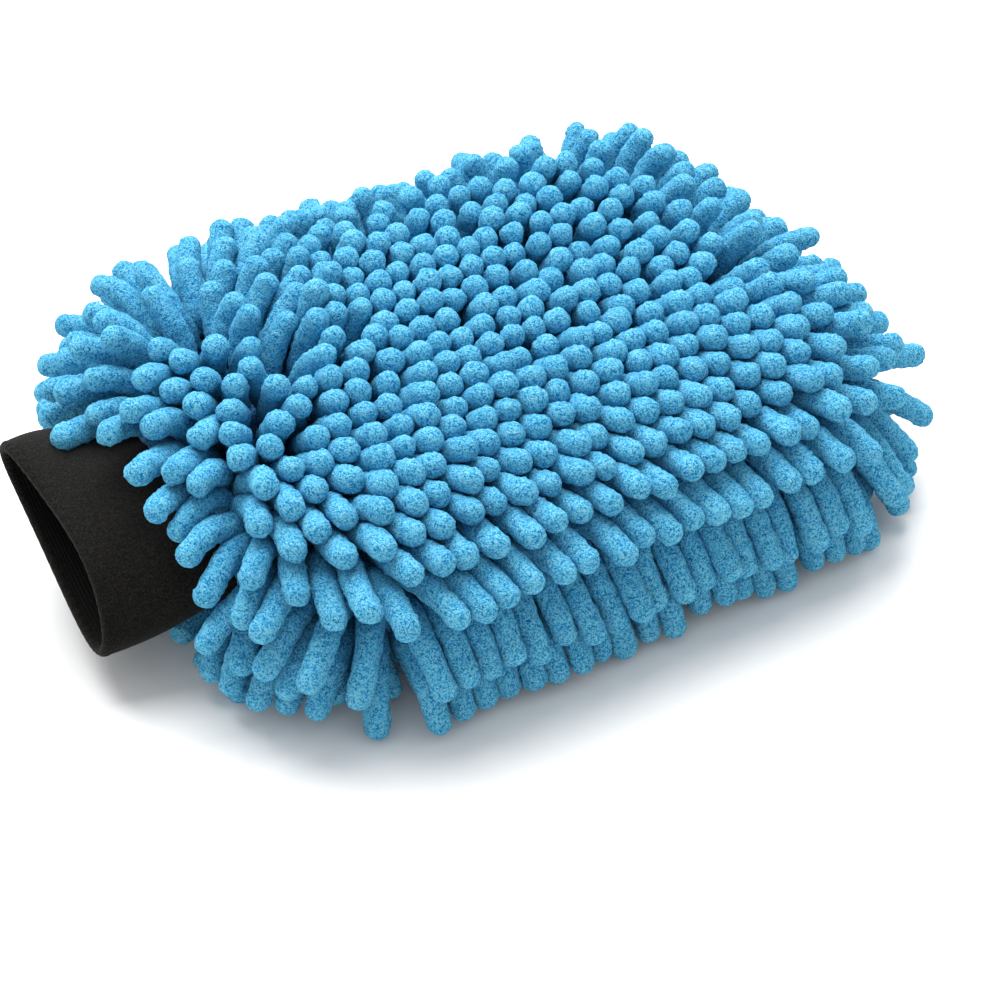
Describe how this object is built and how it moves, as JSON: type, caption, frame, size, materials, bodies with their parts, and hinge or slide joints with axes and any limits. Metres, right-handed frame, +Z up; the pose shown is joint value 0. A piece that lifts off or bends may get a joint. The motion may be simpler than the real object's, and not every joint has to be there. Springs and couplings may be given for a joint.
{
  "type": "wash mitt",
  "caption": "Soft car wash mitt: round chenille noodle pile on both faces and all round the edge, a hand pocket inside and a doubled black stretch-knit cuff.",
  "frame": {"origin": "centre of the base rectangle, on the surface that the palm pile lies on", "axes": "+X from the cuff's mouth to the finger end, +Y to the left side, +Z up out of the back pile"},
  "size_m": [0.275, 0.205, 0.074],
  "materials": {
    "chenille_pile": "velvety short fibres, matt with a soft sheen",
    "backing_knit": "fine blue knitted mesh",
    "lining_knit": "plain grey knit",
    "seam_thread": "overlocked polyester thread",
    "cuff_knit": "matt black fine rib knit",
    "elastic": "woven elastic tape"
  },
  "bodies": {
    "mitt": {"back_panel_backing": "backing_knit", "palm_panel_backing": "backing_knit", "back_pocket_lining": "lining_knit", "palm_pocket_lining": "lining_knit", "edge_seam_allowance": "seam_thread", "gathered_neck_seam": "backing_knit", "back_pile_row_01": "chenille_pile", "back_pile_row_02": "chenille_pile", "back_pile_row_03": "chenille_pile", "back_pile_row_04": "chenille_pile", "back_pile_row_05": "chenille_pile", "back_pile_row_06": "chenille_pile", "back_pile_row_07": "chenille_pile", "back_pile_row_08": "chenille_pile", "back_pile_row_09": "chenille_pile", "back_pile_row_10": "chenille_pile", "back_pile_row_11": "chenille_pile", "back_pile_row_12": "chenille_pile", "back_pile_row_13": "chenille_pile", "palm_pile_row_01": "chenille_pile", "palm_pile_row_02": "chenille_pile", "palm_pile_row_03": "chenille_pile", "palm_pile_row_04": "chenille_pile", "palm_pile_row_05": "chenille_pile", "palm_pile_row_06": "chenille_pile", "palm_pile_row_07": "chenille_pile", "palm_pile_row_08": "chenille_pile", "palm_pile_row_09": "chenille_pile", "palm_pile_row_10": "chenille_pile", "palm_pile_row_11": "chenille_pile", "palm_pile_row_12": "chenille_pile", "palm_pile_row_13": "chenille_pile", "left_side_pile_back": "chenille_pile", "left_side_pile_palm": "chenille_pile", "right_side_pile_back": "chenille_pile", "right_side_pile_palm": "chenille_pile", "finger_end_pile_back": "chenille_pile", "finger_end_pile_palm": "chenille_pile", "left_corner_pile_back": "chenille_pile", "left_corner_pile_palm": "chenille_pile", "right_corner_pile_back": "chenille_pile", "right_corner_pile_palm": "chenille_pile", "left_shoulder_pile_back": "chenille_pile", "left_shoulder_pile_palm": "chenille_pile", "right_shoulder_pile_back": "chenille_pile", "right_shoulder_pile_palm": "chenille_pile"},
    "cuff": {"cuff_outer_layer": "cuff_knit", "cuff_inner_layer": "cuff_knit", "cuff_mouth_fold": "cuff_knit", "cuff_elastic_band": "elastic", "cuff_side_seam": "cuff_knit"}
  },
  "joints": [
    {"name": "cuff_fold", "type": "hinge", "parent": "mitt", "child": "cuff", "pos_m": [-0.1, 0, 0.035], "axis": [0, 1, 0], "range_deg": [-25, 30]}
  ]
}
